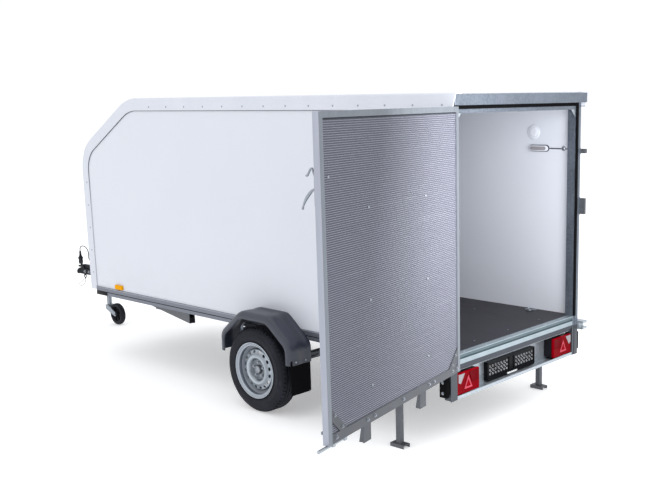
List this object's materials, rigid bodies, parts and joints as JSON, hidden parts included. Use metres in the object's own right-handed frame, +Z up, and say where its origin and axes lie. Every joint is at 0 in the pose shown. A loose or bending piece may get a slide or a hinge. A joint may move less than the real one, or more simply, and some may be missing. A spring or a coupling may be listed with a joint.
{
  "type": "enclosed cargo trailer",
  "caption": "Single-axle enclosed cargo trailer with a sloped nose, side-hinged rear ramp door standing open, drawbar with jockey wheel, and rear prop legs.",
  "frame": {"origin": "centre of the tow ball that the coupling closes on", "axes": "+X forward along the drawbar, +Y to the left side, +Z up"},
  "size_m": [5.768, 3.0698, 2.163],
  "materials": {
    "white_panel": "smooth white painted laminate",
    "white_moulding": "light grey-white plastic moulding",
    "phenolic_floor": "dark phenolic-faced plywood",
    "bare_aluminium": "extruded aluminium, satin",
    "galvanised": "hot-dip galvanised steel, slightly mottled",
    "zinc_plated": "zinc-plated steel",
    "axle_steel": "dark weathered galvanised steel",
    "seal_rubber": "black rubber",
    "black_plastic": "black plastic",
    "guard_plastic": "dark grey moulded plastic",
    "lamp_red": "red lamp lens",
    "lamp_amber": "amber lamp lens",
    "lamp_clear": "frosted white lamp lens",
    "plate_carrier": "black ribbed plastic",
    "tyre_rubber": "black tyre rubber",
    "rim_steel": "silver painted steel",
    "coupling_black": "black coated steel",
    "ribbed_panel": "anti-slip ribbed sheet, grey",
    "cord_black": "black cable sheath",
    "cord_grey": "light grey coated wire rope"
  },
  "bodies": {
    "chassis": {"side_panels": "white_panel", "roof_panel": "white_panel", "nose_panel": "white_panel", "edge_mouldings": "white_moulding", "load_floor": "phenolic_floor", "side_rails": "bare_aluminium", "cross_members": "galvanised", "rear_posts": "galvanised", "header_beam": "galvanised", "rear_sill": "galvanised", "door_seal": "seal_rubber", "light_bar": "galvanised", "tail_lamps": "lamp_red", "plate_holder": "plate_carrier", "drawbar_beams": "galvanised", "end_caps": "black_plastic", "coupling_head": "coupling_black", "coupling_handle": "coupling_black", "drawbar_plates": "galvanised", "jockey_tube": "zinc_plated", "axle_beam": "axle_steel", "leaf_springs": "axle_steel", "spring_hangers": "galvanised", "spring_clamps": "zinc_plated", "mudguards": "guard_plastic", "mudflaps": "seal_rubber", "leg_holders": "zinc_plated", "hinge_brackets": "zinc_plated", "rod_fork": "galvanised", "door_catches": "zinc_plated", "side_markers": "lamp_amber", "wall_vent": "white_moulding", "interior_lamp": "lamp_clear", "lashing_eyes": "zinc_plated", "frame_gussets": "galvanised", "lighting_plug": "black_plastic", "plug_holder": "zinc_plated", "plug_cable": "cord_black", "breakaway_cable": "cord_grey", "breakaway_clip": "coupling_black"},
    "wheel_left": {"hub_left": "axle_steel", "wheel_rim_left": "rim_steel", "tyre_left": "tyre_rubber"},
    "wheel_right": {"hub_right": "axle_steel", "wheel_rim_right": "rim_steel", "tyre_right": "tyre_rubber"},
    "jockey_caster": {"jockey_fork": "zinc_plated"},
    "jockey_roller": {"jockey_wheel": "tyre_rubber"},
    "rear_door": {"door_frame": "bare_aluminium", "door_panel": "ribbed_panel", "door_bar": "galvanised", "door_straps": "galvanised", "door_feet": "galvanised", "door_knuckles": "zinc_plated", "door_latch": "zinc_plated"},
    "leg_left": {"support_leg_left": "zinc_plated"},
    "leg_right": {"support_leg_right": "zinc_plated"}
  },
  "joints": [
    {"name": "wheel_left_spin", "type": "hinge", "parent": "chassis", "child": "wheel_left", "pos_m": [-3.758, 0.825, -0.165], "axis": [0, 1, 0], "continuous": true},
    {"name": "wheel_right_spin", "type": "hinge", "parent": "chassis", "child": "wheel_right", "pos_m": [-3.758, -0.825, -0.165], "axis": [0, 1, 0], "continuous": true},
    {"name": "jockey_swivel", "type": "hinge", "parent": "chassis", "child": "jockey_caster", "pos_m": [-0.47, -0.01, -0.275], "axis": [0, 0, 1], "continuous": true},
    {"name": "jockey_roll", "type": "hinge", "parent": "jockey_caster", "child": "jockey_roller", "pos_m": [-0.605, -0.01, -0.36], "axis": [0, -1, 0], "continuous": true},
    {"name": "rear_door_swing", "type": "hinge", "parent": "chassis", "child": "rear_door", "pos_m": [-5.393, 0.72, 0.135], "axis": [0, 0, -1], "range_deg": [-167.8, 32.2]},
    {"name": "leg_left_slide", "type": "slide", "parent": "chassis", "child": "leg_left", "axis": [0, 0, 1], "range_m": [0, 0.2]},
    {"name": "leg_right_slide", "type": "slide", "parent": "chassis", "child": "leg_right", "axis": [0, 0, 1], "range_m": [0, 0.2]}
  ]
}
